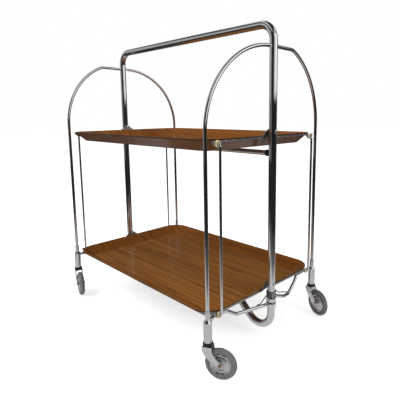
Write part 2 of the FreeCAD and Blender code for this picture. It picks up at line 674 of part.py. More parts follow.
def arch_edges(shouldered):
    """Leg and arch in the plane of the leg: x from the axis of the upright, y is height."""
    reach = LEG_REACH
    foot = size("sleeve_z") + size("leg_seat")
    top = size("arch_z")
    bend = size("arch_bend")
    rod_end = size("rod_end")
    centre_x = reach - bend
    up = Vector(0, 0, 1)
    if not shouldered:
        centre = Vector(centre_x, top - bend, 0)
        return [Part.LineSegment(Vector(reach, foot, 0), Vector(reach, centre.y, 0)),
                Part.ArcOfCircle(Part.Circle(centre, up, bend), 0, math.pi / 2),
                Part.LineSegment(Vector(centre_x, top, 0), Vector(rod_end, top, 0))]
    centre = Vector(centre_x, top - bend + size("shoulder_rise"), 0)
    small = size("shoulder_bend")
    small_z = top - small
    small_x = centre.x + math.sqrt((bend - small) ** 2 - (small_z - centre.y) ** 2)
    small_centre = Vector(small_x, small_z, 0)
    angle = math.atan2(small_centre.y - centre.y, small_centre.x - centre.x)
    return [Part.LineSegment(Vector(reach, foot, 0), Vector(reach, centre.y, 0)),
            Part.ArcOfCircle(Part.Circle(centre, up, bend), 0, angle),
            Part.ArcOfCircle(Part.Circle(small_centre, up, small), angle, math.pi / 2),
            Part.LineSegment(Vector(small_x, top, 0), Vector(rod_end, top, 0))]


def build_leg_rod(side, end):
    shouldered = has_shoulder(side, end)
    body = new_body("%s_%s_leg_rod_body" % (side, end))
    foot = size("sleeve_z") + size("leg_seat")
    pipe(body, "XZ_Plane", arch_edges(shouldered), "XY_Plane", foot, (LEG_REACH, 0), size("leg_radius"))
    # flattened end with an eye: the two rods of one end lie one above the other on the spindle
    play = (size("slot_height") - size("tang_height")) / 2
    base = size("arch_z") + (play if shouldered else play - size("slot_height"))
    tang = new_sketch(body, "XY_Plane", base, "Tang")
    half = size("tang_half_width")
    eye = size("eye_radius")
    meet = math.sqrt(eye ** 2 - half ** 2)
    stop = size("rod_end") + 5
    tang.addGeometry(Part.LineSegment(Vector(meet, half, 0), Vector(stop, half, 0)))
    tang.addGeometry(Part.LineSegment(Vector(stop, half, 0), Vector(stop, -half, 0)))
    tang.addGeometry(Part.LineSegment(Vector(stop, -half, 0), Vector(meet, -half, 0)))
    tang.addGeometry(Part.Arc(Vector(meet, -half, 0), Vector(-eye, 0, 0), Vector(meet, half, 0)))
    add_circle(tang, (0, 0), size("spindle_radius") + size("hinge_fit"))
    pad(body, tang, "Sizes.tang_height")
    body.Placement = leg_placement(side, end)
    return node(body, "%s_%s_leg_rod" % (side, end))


def build_ferrule(side, end):
    name = "%s_%s_sleeve" % (side, end)
    body = new_body(name + "_body")
    low = size("sleeve_z")
    top = size("ferrule_z")
    cone = size("sleeve_shoulder")
    bore = size("stem_radius") + size("stem_fit")
    rod = size("leg_radius")
    seat = low + size("leg_seat")
    revolve(body, [(bore, low), (size("sleeve_radius"), low), (size("sleeve_radius"), top - cone),
                   (size("ferrule_radius"), top), (size("ferrule_radius"), size("ferrule_top")),
                   (rod, size("ferrule_top") + 1), (rod, seat), (bore, seat)])
    place = leg_placement(side, end)
    body.Placement = place.multiply(Placement(Vector(LEG_REACH, 0, 0), Rotation()))
    return node(body, name)


def arm_base(shouldered):
    """Lower end of an arm's hinge sleeve: the two sleeves of one upright are stacked."""
    step = size("hinge_sleeve_height") + size("hinge_stack_gap")
    return size("hinge_sleeve_z") + (step if shouldered else 0.0)


def arm_start_point(shouldered):
    inner = size("tube_radius") + size("hinge_fit")
    middle = arm_base(shouldered) + size("hinge_sleeve_height") / 2
    return (inner + size("hinge_sleeve_radius")) / 2, middle


def arm_corners(shouldered):
    """Knee and elbow of an arm as distance from the hinge axis and height."""
    knee = size("arm_knee")
    elbow_z = size("arm_start_z") - size("arm_dip" if shouldered else "arm_drop")
    knee_z = elbow_z + (size("arm_knee_rise") if shouldered else 0.0)
    elbow = size("arm_elbow") - (size("arm_elbow_shift") if shouldered else 0.0)
    return knee, knee_z, elbow, elbow_z


def build_arm(side, end):
    """A bent rod from its hinge sleeve on the upright to the caster sleeve."""
    shouldered = has_shoulder(side, end)
    body = new_body("%s_%s_arm_body" % (side, end))
    ring = new_sketch(body, "XY_Plane", arm_base(shouldered), "Hinge_sleeve")
    add_circle(ring, (0, 0), size("hinge_sleeve_radius"))
    add_circle(ring, (0, 0), size("tube_radius") + size("hinge_fit"))
    pad(body, ring, "Sizes.hinge_sleeve_height")
    doc.recompute()
    knee, knee_z, elbow, elbow_z = arm_corners(shouldered)
    start, middle = arm_start_point(shouldered)
    stop = LEG_REACH - size("sleeve_radius") + 1.0
    end_z = size("arm_end_z")
    rise = math.radians(size("arm_rise") + (size("arm_rise_more") if shouldered else 0.0))
    level = elbow + (end_z - elbow_z) / math.tan(rise)
    points = [(start, middle, 0), (knee, knee_z, 0), (elbow, elbow_z, 0),
              (level, end_z, 0), (stop, end_z, 0)]
    bend = size("arm_bend")
    edges = bent_path(points, [size("arm_knee_bend"), bend, bend])
    spine = new_sketch(body, "XZ_Plane", 0.0, "Arm_spine")
    for edge in edges:
        spine.addGeometry(edge)
    # the section stands square to the first run
    first = Vector(*points[1]) - Vector(*points[0])
    lean = math.degrees(math.atan2(first.y, first.x))
    section = body.newObject("Sketcher::SketchObject", "Arm_section")
    section.AttachmentSupport = [(plane_of(body, "YZ_Plane"), "")]
    section.MapMode = "FlatFace"
    section.AttachmentOffset = Placement(Vector(0, points[0][1], points[0][0]),
                                         Rotation(Vector(1, 0, 0), -lean))
    add_circle(section, (0, 0), size("arm_radius"))
    doc.recompute()
    sweep = body.newObject("PartDesign::AdditivePipe", "Arm")
    sweep.Profile = section
    sweep.Spine = (spine, [])
    doc.recompute()
    # the rod is trimmed flush with the bore of its hinge sleeve and with the caster sleeve
    low = size("foot_centre_z") - size("foot_bend")
    trims = [cylinder("arm_trim", "Sizes.tube_radius + Sizes.hinge_fit", "Sizes.upper_rim_z",
                      Vector(0, 0, low)),
             cylinder("arm_trim", "Sizes.sleeve_radius", "Sizes.upper_rim_z", Vector(LEG_REACH, 0, low))]
    trimmed = minus("%s_%s_arm_cut" % (side, end), body, trims)
    trimmed.Placement = leg_placement(side, end)
    return node(trimmed, "%s_%s_arm" % (side, end))


def build_spring_cups():
    cups = []
    low = size("hinge_sleeve_z") + 2 * (size("hinge_sleeve_height") + size("hinge_stack_gap"))
    for sign in (-1, 1):
        body = new_body("spring_cup")
        inner = size("tube_radius")
        outer = size("hinge_sleeve_radius")
        top = size("spring_cup_top")
        revolve(body, [(inner, low), (outer, low), (outer, top - 2.5), (inner + 0.8, top), (inner, top)])
        body.Placement = Placement(Vector(sign * size("tube_x"), 0, 0), Rotation())
        cups.append(body)
    node(cluster("spring_cup_group", cups), "spring_cups")


def build_spring_wire(side, end):
    """One leg of the torsion spring: down from the cup and out along the arm that it pushes."""
    shouldered = has_shoulder(side, end)
    body = new_body("%s_%s_wire_body" % (side, end))
    radius = size("wire_radius")
    start = size("hinge_sleeve_radius") + size("wire_gap")
    out = start + size("wire_out")
    high = size("spring_cup_top") - size("wire_drop")
    knee, knee_z, elbow, elbow_z = arm_corners(shouldered)
    above = size("arm_radius") + radius + size("wire_gap")
    touch = out + size("wire_reach")
    tip = out + size("wire_tip")
    slope = (elbow_z - knee_z) / (elbow - knee)
    # the arm's arc lies above the corner of its knee
    arm_start, middle = arm_start_point(shouldered)
    turn = math.atan(slope) - math.atan2(knee_z - middle, knee - arm_start)
    lift = size("arm_knee_bend") * (1 / math.cos(turn / 2) - 1)
    touch_z = knee_z + slope * (touch - knee) + above + lift
    tip_z = knee_z + slope * (tip - knee) + above
    points = [(start, high, 0), (out, high, 0), (out, touch_z + size("wire_knee"), 0),
              (touch, touch_z, 0), (tip, tip_z, 0)]
    edges = bent_path(points, [2.0, 4.0, 5.0])
    pipe(body, "XZ_Plane", edges, "YZ_Plane", start, (0, high), radius)
    body.Placement = leg_placement(side, end)
    return node(body, "%s_%s_spring_wire" % (side, end))


# ---------------------------------------------------------------- casters

def caster_axis(side, end):
    return Vector(ENDS[end] * size("leg_x"), SIDES[side] * size("leg_y"), 0)


CASTER_HEADING = {("front", "right"): 28.0, ("back", "right"): -16.0,
                  ("front", "left"): -16.0, ("back", "left"): 164.0}


def caster_placement(side, end):
    """Local X points from the swivel axis to the axle."""
    return Placement(caster_axis(side, end), Rotation(Vector(0, 0, 1), CASTER_HEADING[side, end]))


def build_ring(side, end):
    body = new_body("%s_%s_ring_body" % (side, end))
    low = size("ring_z")
    top = size("sleeve_z")
    radius = size("ring_radius")
    bore = size("stem_radius") + size("stem_fit")
    revolve(body, [(bore, low), (radius - 1, low), (radius, low + 1), (radius, top - 1.5),
                   (radius - 1.5, top), (bore, top)])
    body.Placement = Placement(caster_axis(side, end), Rotation())
    return node(body, "%s_%s_bearing_ring" % (side, end))


def build_fork(side, end):
    """A pressed fork: a round crown, two swept cheeks and a riveted stem."""
    body = new_body("%s_%s_fork_body" % (side, end))
    top = size("fork_top")
    sheet_t = size("fork_sheet")
    half = size("fork_gap") / 2 + sheet_t
    trail = size("trail")
    axle_z = size("wheel_radius")
    crown = size("fork_crown")
    eye = size("fork_eye")
    profile = new_sketch(body, "XZ_Plane", 0.0, "Side")
    round_top = size("fork_edge")
    back_top = Vector(crown, top - size("fork_back"), 0)
    front_top = Vector(-crown, top - size("fork_front"), 0)
    eye_back = Vector(trail + eye * math.cos(math.radians(25)), axle_z + eye * math.sin(math.radians(25)), 0)
    eye_front = Vector(trail - eye * math.cos(math.radians(10)), axle_z - eye * math.sin(math.radians(10)), 0)
    outline = [front_top, Vector(-crown, top - round_top, 0), Vector(-crown + round_top, top, 0),
               Vector(crown - round_top, top, 0), Vector(crown, top - round_top, 0), back_top]
    for a, b in zip(outline, outline[1:]):
        profile.addGeometry(Part.LineSegment(a, b))
    swell = Vector(crown + size("fork_swell"), top - size("fork_swell_drop"), 0)
    profile.addGeometry(Part.Arc(back_top, swell, eye_back))
    profile.addGeometry(Part.Arc(eye_back, Vector(trail, axle_z - eye, 0), eye_front))
    profile.addGeometry(Part.Arc(eye_front, Vector(1.5, axle_z + 12, 0), front_top))
    pad(body, profile, 2 * half, midplane=True)
    doc.recompute()
    # the space between the cheeks
    space = new_sketch(body, "YZ_Plane", 0.0, "Gap")
    gap = size("fork_gap") / 2
    add_polygon(space, [(-gap, axle_z - 20), (gap, axle_z - 20), (gap, top - sheet_t - 2),
                        (gap - 2, top - sheet_t), (-gap + 2, top - sheet_t), (-gap, top - sheet_t - 2)])
    cut_through(body, space)
    holes = new_sketch(body, "XZ_Plane", 0.0, "Axle_hole")
    add_circle(holes, (trail, axle_z), size("axle_radius"))
    cut_through(body, holes)
    stem = new_sketch(body, "XY_Plane", top - sheet_t, "Stem")
    add_circle(stem, (0, 0), size("stem_radius"))
    pad(body, stem, "Sizes.stem_top - Sizes.fork_top + Sizes.fork_sheet")
    body.Placement = caster_placement(side, end)
    return node(body, "%s_%s_fork" % (side, end))


def build_axle(side, end):
    body = new_body("%s_%s_axle_body" % (side, end))
    half = size("fork_gap") / 2 + size("fork_sheet") + 0.05
    radius = size("axle_radius")
    revolve(body, [(0, -half - 2.2), (2.6, -half - 1.8), (4.6, -half), (radius, -half), (radius, half),
                   (4.6, half), (2.6, half + 1.8), (0, half + 2.2)])
    local = Placement(Vector(size("trail"), 0, size("wheel_radius")),
                      Rotation(Vector(0, 0, 1), Vector(0, 1, 0)))
    body.Placement = caster_placement(side, end).multiply(local)
    return node(body, "%s_%s_axle" % (side, end))


def wheel_place(side, end):
    local = Placement(Vector(size("trail"), 0, size("wheel_radius")),
                      Rotation(Vector(0, 0, 1), Vector(0, 1, 0)))
    return caster_placement(side, end).multiply(local)


def build_hub(side, end):
    """Two pressed discs on a tube, with stepped rings."""
    body = new_body("%s_%s_hub_body" % (side, end))
    bore = size("axle_radius") + size("axle_fit")
    rim = size("hub_radius")
    half = size("wheel_width") / 2
    revolve(body, [(bore, -half - 0.8), (7, -half - 0.8), (8, -half + 0.6), (13, -half + 0.6),
                   (14, -half + 1.8), (rim - 1.5, -half + 1.8), (rim, -half + 3), (rim, half - 3),
                   (rim - 1.5, half - 1.8), (14, half - 1.8), (13, half - 0.6), (8, half - 0.6),
                   (7, half + 0.8), (bore, half + 0.8)])
    body.Placement = wheel_place(side, end)
    return node(body, "%s_%s_hub" % (side, end))


def build_tyre(side, end):
    body = new_body("%s_%s_tyre_body" % (side, end))
    rim = size("hub_radius")
    outer = size("wheel_radius")
    half = size("wheel_width") / 2
    revolve(body, [(rim, -half + 2), (rim + 2, -half + 0.4), (rim + 5, -half), (outer - 3, -half + 1.5),
                   (outer - 0.6, -half + 4), (outer, -half + 6), (outer, half - 6), (outer - 0.6, half - 4),
                   (outer - 3, half - 1.5), (rim + 5, half), (rim + 2, half - 0.4), (rim, half - 2)])
    body.Placement = wheel_place(side, end)
    return node(body, "%s_%s_tyre" % (side, end))


# ---------------------------------------------------------------- the whole trolley

build_loop()
build_crossbar()
build_spindles()
build_pivot_rivets()
build_spring_cups()
for side in SIDES:
    for level in RIMS:
        build_leaf(level, side)
        build_end_plates(level, side)
        build_plate_rivets(level, side)
        build_bushes(level, side)
    build_rods(side)
    for end in ENDS:
        build_leg_rod(side, end)
        build_ferrule(side, end)
        build_arm(side, end)
        build_spring_wire(side, end)
        build_ring(side, end)
        build_fork(side, end)
        build_axle(side, end)
        build_hub(side, end)
        build_tyre(side, end)

doc.recompute()
for obj in doc.Objects:
    if "Invalid" in obj.State or "Error" in obj.State:
        raise RuntimeError("%s did not build: %s" % (obj.Label, obj.State))
os.makedirs("parts", exist_ok=True)
for name, obj in PARTS.items():
    shape = obj.Shape
    if shape.isNull() or not shape.isValid() or not shape.Solids:
        raise RuntimeError("%s has no valid solid" % name)
    shape.exportStep("parts/%s.step" % name)
    print("%-28s solids %d volume %.0f" % (name, len(shape.Solids), shape.Volume))
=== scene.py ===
import json
import math

import bmesh
import bpy
from mathutils import Matrix, Vector


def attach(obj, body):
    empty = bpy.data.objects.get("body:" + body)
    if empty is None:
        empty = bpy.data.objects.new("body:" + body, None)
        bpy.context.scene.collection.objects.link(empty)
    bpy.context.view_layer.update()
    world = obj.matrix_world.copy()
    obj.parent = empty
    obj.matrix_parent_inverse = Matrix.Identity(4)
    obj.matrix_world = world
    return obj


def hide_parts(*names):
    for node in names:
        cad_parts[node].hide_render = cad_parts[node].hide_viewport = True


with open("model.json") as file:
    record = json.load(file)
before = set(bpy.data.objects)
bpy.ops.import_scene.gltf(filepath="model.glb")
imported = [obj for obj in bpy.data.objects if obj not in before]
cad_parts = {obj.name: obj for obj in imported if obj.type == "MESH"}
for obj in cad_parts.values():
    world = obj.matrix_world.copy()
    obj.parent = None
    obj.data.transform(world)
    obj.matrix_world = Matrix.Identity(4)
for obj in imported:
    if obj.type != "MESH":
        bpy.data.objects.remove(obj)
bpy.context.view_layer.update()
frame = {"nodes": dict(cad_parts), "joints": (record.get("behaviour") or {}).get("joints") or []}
nodes = frame["nodes"]
scene = bpy.context.scene
scene.view_settings.view_transform = "Standard"

# The folding tea trolley, dressed: materials for every CAD node, new pieces for the nodes that
# look better turned or bent, and a white set with a room round it for the chrome to reflect.
# Units are metres. Pieces are drawn in millimetres and scaled by finish_piece.

MM = 0.001
UP = Vector((0, 0, 1))
LEVELS = ("upper", "lower")
SIDES = {"front": -1, "back": 1}   # sign of Y
ENDS = {"right": 1, "left": -1}    # sign of X


def add_object(name, data):
    item = bpy.data.objects.new(name, data)
    scene.collection.objects.link(item)
    return item


# ------------------------------------------------------------------ camera

# Fitted to the photograph. Focal length and centre are in pixels of the 400 pixel picture.
IMAGE = 400.0
FOCAL = 393.37
CENTRE_X = 223.5
CENTRE_Y = 172.74
AZIMUTH = math.radians(44.677)
ELEVATION = math.radians(8.572)
ROLL = math.radians(-0.4835)
LOWER_RIM = 0.137                  # the fit counted heights from the lower tray's rim
EYE = Vector((0.85371, -0.71087, 0.41215 + LOWER_RIM))
SENSOR = 36.0
CLIP = (0.05, 60.0)


def add_camera():
    data = bpy.data.cameras.new("camera")
    data.sensor_width = SENSOR
    data.lens = FOCAL / IMAGE * SENSOR
    data.shift_x = (IMAGE / 2 - CENTRE_X) / IMAGE
    data.shift_y = (CENTRE_Y - IMAGE / 2) / IMAGE
    data.clip_start, data.clip_end = CLIP
    level = math.cos(ELEVATION)
    back = Vector((math.sin(AZIMUTH) * level, -math.cos(AZIMUTH) * level, math.sin(ELEVATION)))
    right = (-back).cross(UP).normalized()
    up = back.cross(right)
    turned_right = right * math.cos(ROLL) + up * math.sin(ROLL)
    turned_up = -right * math.sin(ROLL) + up * math.cos(ROLL)
    axes = Matrix((turned_right, turned_up, back)).transposed()
    camera = add_object("camera", data)
    camera.matrix_world = Matrix.Translation(EYE) @ axes.to_4x4()
    scene.camera = camera


# ------------------------------------------------------------------ node helpers

class Graph:
    """A short way to write the node tree of a material or of the world."""

    def __init__(self, owner):
        owner.use_nodes = True
        self.owner = owner
        self.tree = owner.node_tree

    def add(self, kind, **inputs):
        node = self.tree.nodes.new(kind)
        for key, value in inputs.items():
            self.put(node.inputs[key.replace("_", " ")], value)
        return node

    def put(self, socket, value):
        """Link another node's output, or set a plain value."""
        if isinstance(value, bpy.types.NodeSocket):
            self.tree.links.new(value, socket)
        else:
            socket.default_value = value

    def coords(self, output="Object"):
        return self.add("ShaderNodeTexCoord").outputs[output]

    def scaled(self, vector, scale, offset=(0, 0, 0)):
        node = self.add("ShaderNodeMapping", Vector=vector, Scale=scale, Location=offset)
        return node.outputs["Vector"]

    def noise(self, vector, scale=1.0, detail=3.0, roughness=0.55, distortion=0.0):
        node = self.add("ShaderNodeTexNoise", Vector=vector, Scale=scale, Detail=detail,
                        Roughness=roughness, Distortion=distortion)
        return node.outputs["Fac"]

    def wave(self, vector, scale, distortion, detail, detail_scale):
        node = self.add("ShaderNodeTexWave", Vector=vector, Scale=scale, Distortion=distortion,
                        Detail=detail, Detail_Scale=detail_scale)
        node.bands_direction = "Y"
        return node.outputs["Fac"]

    def ramp(self, value, stops):
        """Stops are (position, colour or grey tone)."""
        node = self.add("ShaderNodeValToRGB", Fac=value)
        elements = node.color_ramp.elements
        while len(elements) < len(stops):
            elements.new(0.5)
        for element, (position, tone) in zip(elements, stops):
            element.position = position
            element.color = (*(tone if isinstance(tone, tuple) else (tone,) * 3), 1.0)
        return node.outputs["Color"]

    def remap(self, value, low, high, to_low, to_high):
        node = self.add("ShaderNodeMapRange", Value=value, From_Min=low, From_Max=high,
                        To_Min=to_low, To_Max=to_high)
        return node.outputs["Result"]

    def fade(self, value, low, high):
        """0 up to the low value, 1 from the high value."""
        return self.remap(value, low, high, 0.0, 1.0)

    def mix(self, share, a, b):
        """Colour a, with the given share of colour b."""
        node = self.tree.nodes.new("ShaderNodeMix")
        node.data_type = "RGBA"
        self.put(node.inputs["Factor"], share)
        for key, colour in (("A", a), ("B", b)):
            plain = isinstance(colour, tuple)
            self.put(node.inputs[key], (*colour, 1.0) if plain else colour)
        return node.outputs["Result"]

    def calc(self, operation, a, b=0.0):
        node = self.tree.nodes.new("ShaderNodeMath")
        node.operation = operation
        self.put(node.inputs[0], a)
        self.put(node.inputs[1], b)
        return node.outputs["Value"]

    def split(self, vector):
        node = self.add("ShaderNodeSeparateXYZ", Vector=vector)
        return node.outputs["X"], node.outputs["Y"], node.outputs["Z"]

    def seen(self):
        """1 for rays that show a surface to the viewer, 0 for rays that only light one."""
        path = self.add("ShaderNodeLightPath").outputs
        viewed = self.calc("MAXIMUM", path["Is Camera Ray"], path["Is Glossy Ray"])
        return self.calc("MAXIMUM", viewed, path["Is Transmission Ray"])

    def shader(self):
        return self.tree.nodes["Principled BSDF"]

    def bump(self, height, strength, distance):
        node = self.add("ShaderNodeBump", Height=height, Strength=strength, Distance=distance)
        self.put(self.shader().inputs["Normal"], node.outputs["Normal"])

    def surface(self, **inputs):
        for key, value in inputs.items():
            self.put(self.shader().inputs[key.replace("_", " ")], value)

    def show(self, socket):
        self.put(self.tree.nodes["Material Output"].inputs["Surface"], socket)


def new_material(name):
    return Graph(bpy.data.materials.new(name))


# ------------------------------------------------------------------ materials

# Noise scales count repeats in a metre. A span says which values of a noise run from one look to
# the other. Bumps are (strength, distance in metres).
NOISE_SPAN = (0.3, 0.7)

HAZE_SCALE, HAZE_DIM = 26.0, 0.94
HAZE_TONE_SPAN, HAZE_ROUGH_SPAN = (0.35, 0.7), (0.3, 0.75)

SPANGLE_SCALE, ZINC_ROUGH = 70.0, (0.34, 0.46)

BRASS_CLEAN, BRASS_STAINED = (0.50, 0.38, 0.20), (0.30, 0.22, 0.13)
STAIN_SCALE, STAIN_SPAN = 260.0, (0.35, 0.65)
BRASS_ROUGH, BRASS_BUMP = (0.25, 0.45), (0.1, 0.0003)

PLASTIC_CLOUD, PLASTIC_SPAN, PLASTIC_FINE = 90.0, (0.35, 0.68), 1200.0
PLASTIC_IOR, PLASTIC_BUMP, SCATTER_DEPTH = 1.48, (0.08, 0.0002), 0.004

RUBBER_DARK, RUBBER_DUSTY = (0.142, 0.136, 0.136), (0.195, 0.186, 0.184)
RUBBER_CLOUD, RUBBER_GRIT = 55.0, 1500.0
RUBBER_ROUGH, RUBBER_IOR, RUBBER_BUMP = (0.48, 0.62), 1.5, (0.15, 0.0002)

# The grain runs along X, so its noises repeat seldom along X and often across.
BANDS_SCALE, STREAK_SCALE = (1.3, 34.0, 9.0), (3.4, 120.0, 31.0)
FIBRE_SCALE = (26.0, 900.0, 400.0)
FIGURE_SCALE, FIGURE_AT = (0.55, 5.6, 0.7), (0.31, 0.18, 0.0)
LINES_SCALE, LINES_AT = (1.9, 78.0, 17.0), (3.1, 1.7, 0.0)
CLOUD_SCALE = 38.0
TEAK_BANDS = [(0.30, (0.205, 0.068, 0.010)), (0.52, (0.290, 0.106, 0.018)),
              (0.72, (0.350, 0.142, 0.028))]
# what lies over the bands: mask, colour, span of the mask, share of the colour at its two ends
TEAK_LAYERS = [
    ("streak", (0.140, 0.050, 0.011), (0.42, 0.62), (0.0, 0.38)),
    ("figure", (0.070, 0.026, 0.010), (0.0, 0.10), (0.42, 0.0)),
    ("off_line", (0.052, 0.020, 0.009), (0.0, 0.032), (0.74, 0.0)),
    ("fibre", (0.25, 0.115, 0.040), (0.35, 0.70), (0.0, 0.22)),
    ("normal_z", (0.215, 0.062, 0.009), (0.80, 0.96), (0.50, 0.0)),   # painted shade: the leaning inside walls darker than the flat bottom
]
OUTSIDE = ((0.098, 0.044, 0.022), (0.132, 0.062, 0.031))
CUT_EDGE = ((0.030, 0.014, 0.008), (0.045, 0.022, 0.012))
EDGE_NORMAL = (0.12, 0.22)         # the cut edge's normal is nearly level, the inside's points up
TEAK_ROUGH, TEAK_BUMP = (0.20, 0.30), (0.04, 0.0001)
LACQUER = {"IOR": 1.4, "Specular_IOR_Level": 0.10, "Coat_Weight": 0.18, "Coat_Roughness": 0.06,
           "Coat_IOR": 1.5}


def chrome(name, tint=(0.80, 0.80, 0.815), rough=(0.035, 0.10)):
    g = new_material(name)
    haze = g.noise(g.coords(), HAZE_SCALE)
    tone = g.mix(g.fade(haze, *HAZE_TONE_SPAN), tint, tuple(c * HAZE_DIM for c in tint))
    g.surface(Base_Color=tone, Metallic=1.0, Roughness=g.remap(haze, *HAZE_ROUGH_SPAN, *rough))
    return g.owner


def zinc(name, dark, light):
    g = new_material(name)
    spangle = g.noise(g.coords(), SPANGLE_SCALE)
    g.surface(Base_Color=g.mix(spangle, dark, light), Metallic=1.0,
              Roughness=g.remap(spangle, *NOISE_SPAN, *ZINC_ROUGH))
    return g.owner


def brass(name):
    g = new_material(name)
    stain = g.noise(g.coords(), STAIN_SCALE)
    g.surface(Base_Color=g.mix(g.fade(stain, *STAIN_SPAN), BRASS_CLEAN, BRASS_STAINED),
              Metallic=1.0, Roughness=g.remap(stain, *NOISE_SPAN, *BRASS_ROUGH))
    g.bump(stain, *BRASS_BUMP)
    return g.owner


def laminate(name):
    """Teak-effect laminate inside, plain brown below and outside, a dark cut edge at the rim."""
    g = new_material(name)
    at = g.coords()
    bands = g.noise(g.scaled(at, BANDS_SCALE), roughness=0.5, distortion=0.35)
    lines = g.noise(g.scaled(at, LINES_SCALE, LINES_AT), detail=2.0, roughness=0.5, distortion=0.8)
    masks = {
        "streak": g.noise(g.scaled(at, STREAK_SCALE), detail=5.0, roughness=0.6, distortion=0.5),
        "figure": g.wave(g.scaled(at, FIGURE_SCALE, FIGURE_AT), scale=1.6, distortion=7.5,
                         detail=3.0, detail_scale=0.9),
        "off_line": g.calc("ABSOLUTE", g.calc("SUBTRACT", lines, 0.5)),
        "fibre": g.noise(g.scaled(at, FIBRE_SCALE)),
        "normal_z": g.split(g.coords("Normal"))[2],
    }
    inside = g.ramp(bands, TEAK_BANDS)
    for mask, colour, span, shares in TEAK_LAYERS:
        inside = g.mix(g.remap(masks[mask], *span, *shares), inside, colour)
    cloud = g.noise(at, CLOUD_SCALE)
    low, high = EDGE_NORMAL
    facing_up = g.fade(masks["normal_z"], low, high)
    facing_down = g.remap(masks["normal_z"], -high, -low, 1.0, 0.0)
    upper = g.mix(facing_up, g.mix(cloud, *CUT_EDGE), inside)
    g.surface(Base_Color=g.mix(facing_down, upper, g.mix(cloud, *OUTSIDE)),
              Roughness=g.remap(masks["streak"], *NOISE_SPAN, *TEAK_ROUGH), **LACQUER)
    g.bump(masks["fibre"], *TEAK_BUMP)
    return g.owner


def plastic(name, light, dark, rough, gloss=0.5, scatter=0.0):
    """Gloss is the specular level, scatter the share of light that goes below the surface."""
    g = new_material(name)
    at = g.coords()
    cloud = g.noise(at, PLASTIC_CLOUD)
    fine = g.noise(at, PLASTIC_FINE, detail=2.0)
    g.surface(Base_Color=g.mix(g.fade(cloud, *PLASTIC_SPAN), light, dark), IOR=PLASTIC_IOR,
              Roughness=g.remap(fine, *NOISE_SPAN, *rough), Specular_IOR_Level=gloss)
    if scatter:
        g.surface(Subsurface_Weight=scatter, Subsurface_Scale=SCATTER_DEPTH)
    g.bump(fine, *PLASTIC_BUMP)
    return g.owner


def rubber(name):
    g = new_material(name)
    at = g.coords()
    cloud = g.noise(at, RUBBER_CLOUD, detail=4.0)
    grit = g.noise(at, RUBBER_GRIT, detail=2.0)
    g.surface(Base_Color=g.mix(g.fade(cloud, *NOISE_SPAN), RUBBER_DARK, RUBBER_DUSTY),
              Roughness=g.remap(grit, *NOISE_SPAN, *RUBBER_ROUGH), IOR=RUBBER_IOR)
    g.bump(grit, *RUBBER_BUMP)
    return g.owner


MATERIALS = {
    "tube": chrome("tube_chrome"),
    "rod": chrome("rod_chrome", (0.82, 0.82, 0.83), (0.04, 0.09)),
    "pressed": chrome("pressed_chrome", (0.77, 0.755, 0.77), (0.16, 0.24)),
    "disc": chrome("disc_chrome", (0.65, 0.635, 0.635), (0.17, 0.26)),
    "zinc": zinc("zinc_plate", (0.36, 0.35, 0.35), (0.48, 0.46, 0.46)),
    "spring": zinc("spring_steel", (0.28, 0.26, 0.25), (0.42, 0.40, 0.39)),
    "rivet": zinc("rivet_steel", (0.60, 0.58, 0.59), (0.74, 0.72, 0.72)),
    "brass": brass("brass_rivet"),
    "laminate": laminate("teak_laminate"),
    "cream": plastic("cream_plastic", (0.74, 0.64, 0.40), (0.60, 0.49, 0.27), (0.32, 0.45),
                     scatter=0.15),
    "black": plastic("black_plastic", (0.010, 0.010, 0.011), (0.018, 0.017, 0.017), (0.30, 0.42),
                     gloss=0.25),
    "rubber": rubber("grey_rubber"),
}

# The first ending that fits a node's name gives its material.
FINISHES = [
    ("_leaf", "laminate"), ("end_plates", "zinc"), ("plate_rivets", "rivet"),
    ("rod_bushes", "cream"), ("bearing_ring", "black"), ("crossbar_caps", "black"),
    ("tyre", "rubber"), ("axle", "brass"), ("fork", "pressed"), ("sleeve", "pressed"),
    ("central_loop", "tube"), ("upper_crossbar", "tube"), ("", "rod"),
]

for name, item in nodes.items():
    finish = next(finish for ending, finish in FINISHES if name.endswith(ending))
    item.data.materials.clear()
    item.data.materials.append(MATERIALS[finish])


# ------------------------------------------------------------------ shape helpers

ARC_STEP, STRAIGHT = 0.16, 0.01    # radians: turn between points of an arc, turn taken as none
RUN_IN_SHARE, RUN_OUT_SHARE = 0.9, 0.48   # how much of a straight run an arc may use up


def circle(steps):
    """Points of the unit circle."""
    return [(math.cos(a), math.sin(a)) for a in (2 * math.pi * i / steps for i in range(steps))]


def skin(grid, rings):
    """Smooth faces from each ring of vertices to the next."""
    for low, high in zip(rings, rings[1:]):
        for i in range(len(low)):
            j = (i + 1) % len(low)
            grid.faces.new((low[i], low[j], high[j], high[i])).smooth = True


def turned(grid, profile, steps, centre_x=0.0):
    """A closed turned solid about an upright axis. The profile holds (radius, height)."""
    rings = [[grid.verts.new((centre_x + radius * x, radius * y, height)) for x, y in circle(steps)]
             for radius, height in profile]
    skin(grid, rings + rings[:1])
    return [vert for ring in rings for vert in ring]


def sweep(grid, line, radius, steps):
    """A round rod with closed ends along a line."""
    tangents = [(after - before).normalized()
                for before, after in zip(line[:1] + line[:-1], line[1:] + line[-1:])]
    side = tangents[0].orthogonal().normalized()
    rings = []
    for point, tangent in zip(line, tangents):
        side = (side - tangent * side.dot(tangent)).normalized()
        other = tangent.cross(side)
        rings.append([grid.verts.new(point + (side * x + other * y) * radius)
                      for x, y in circle(steps)])
    skin(grid, rings)
    grid.faces.new(rings[0][::-1])
    grid.faces.new(rings[-1])


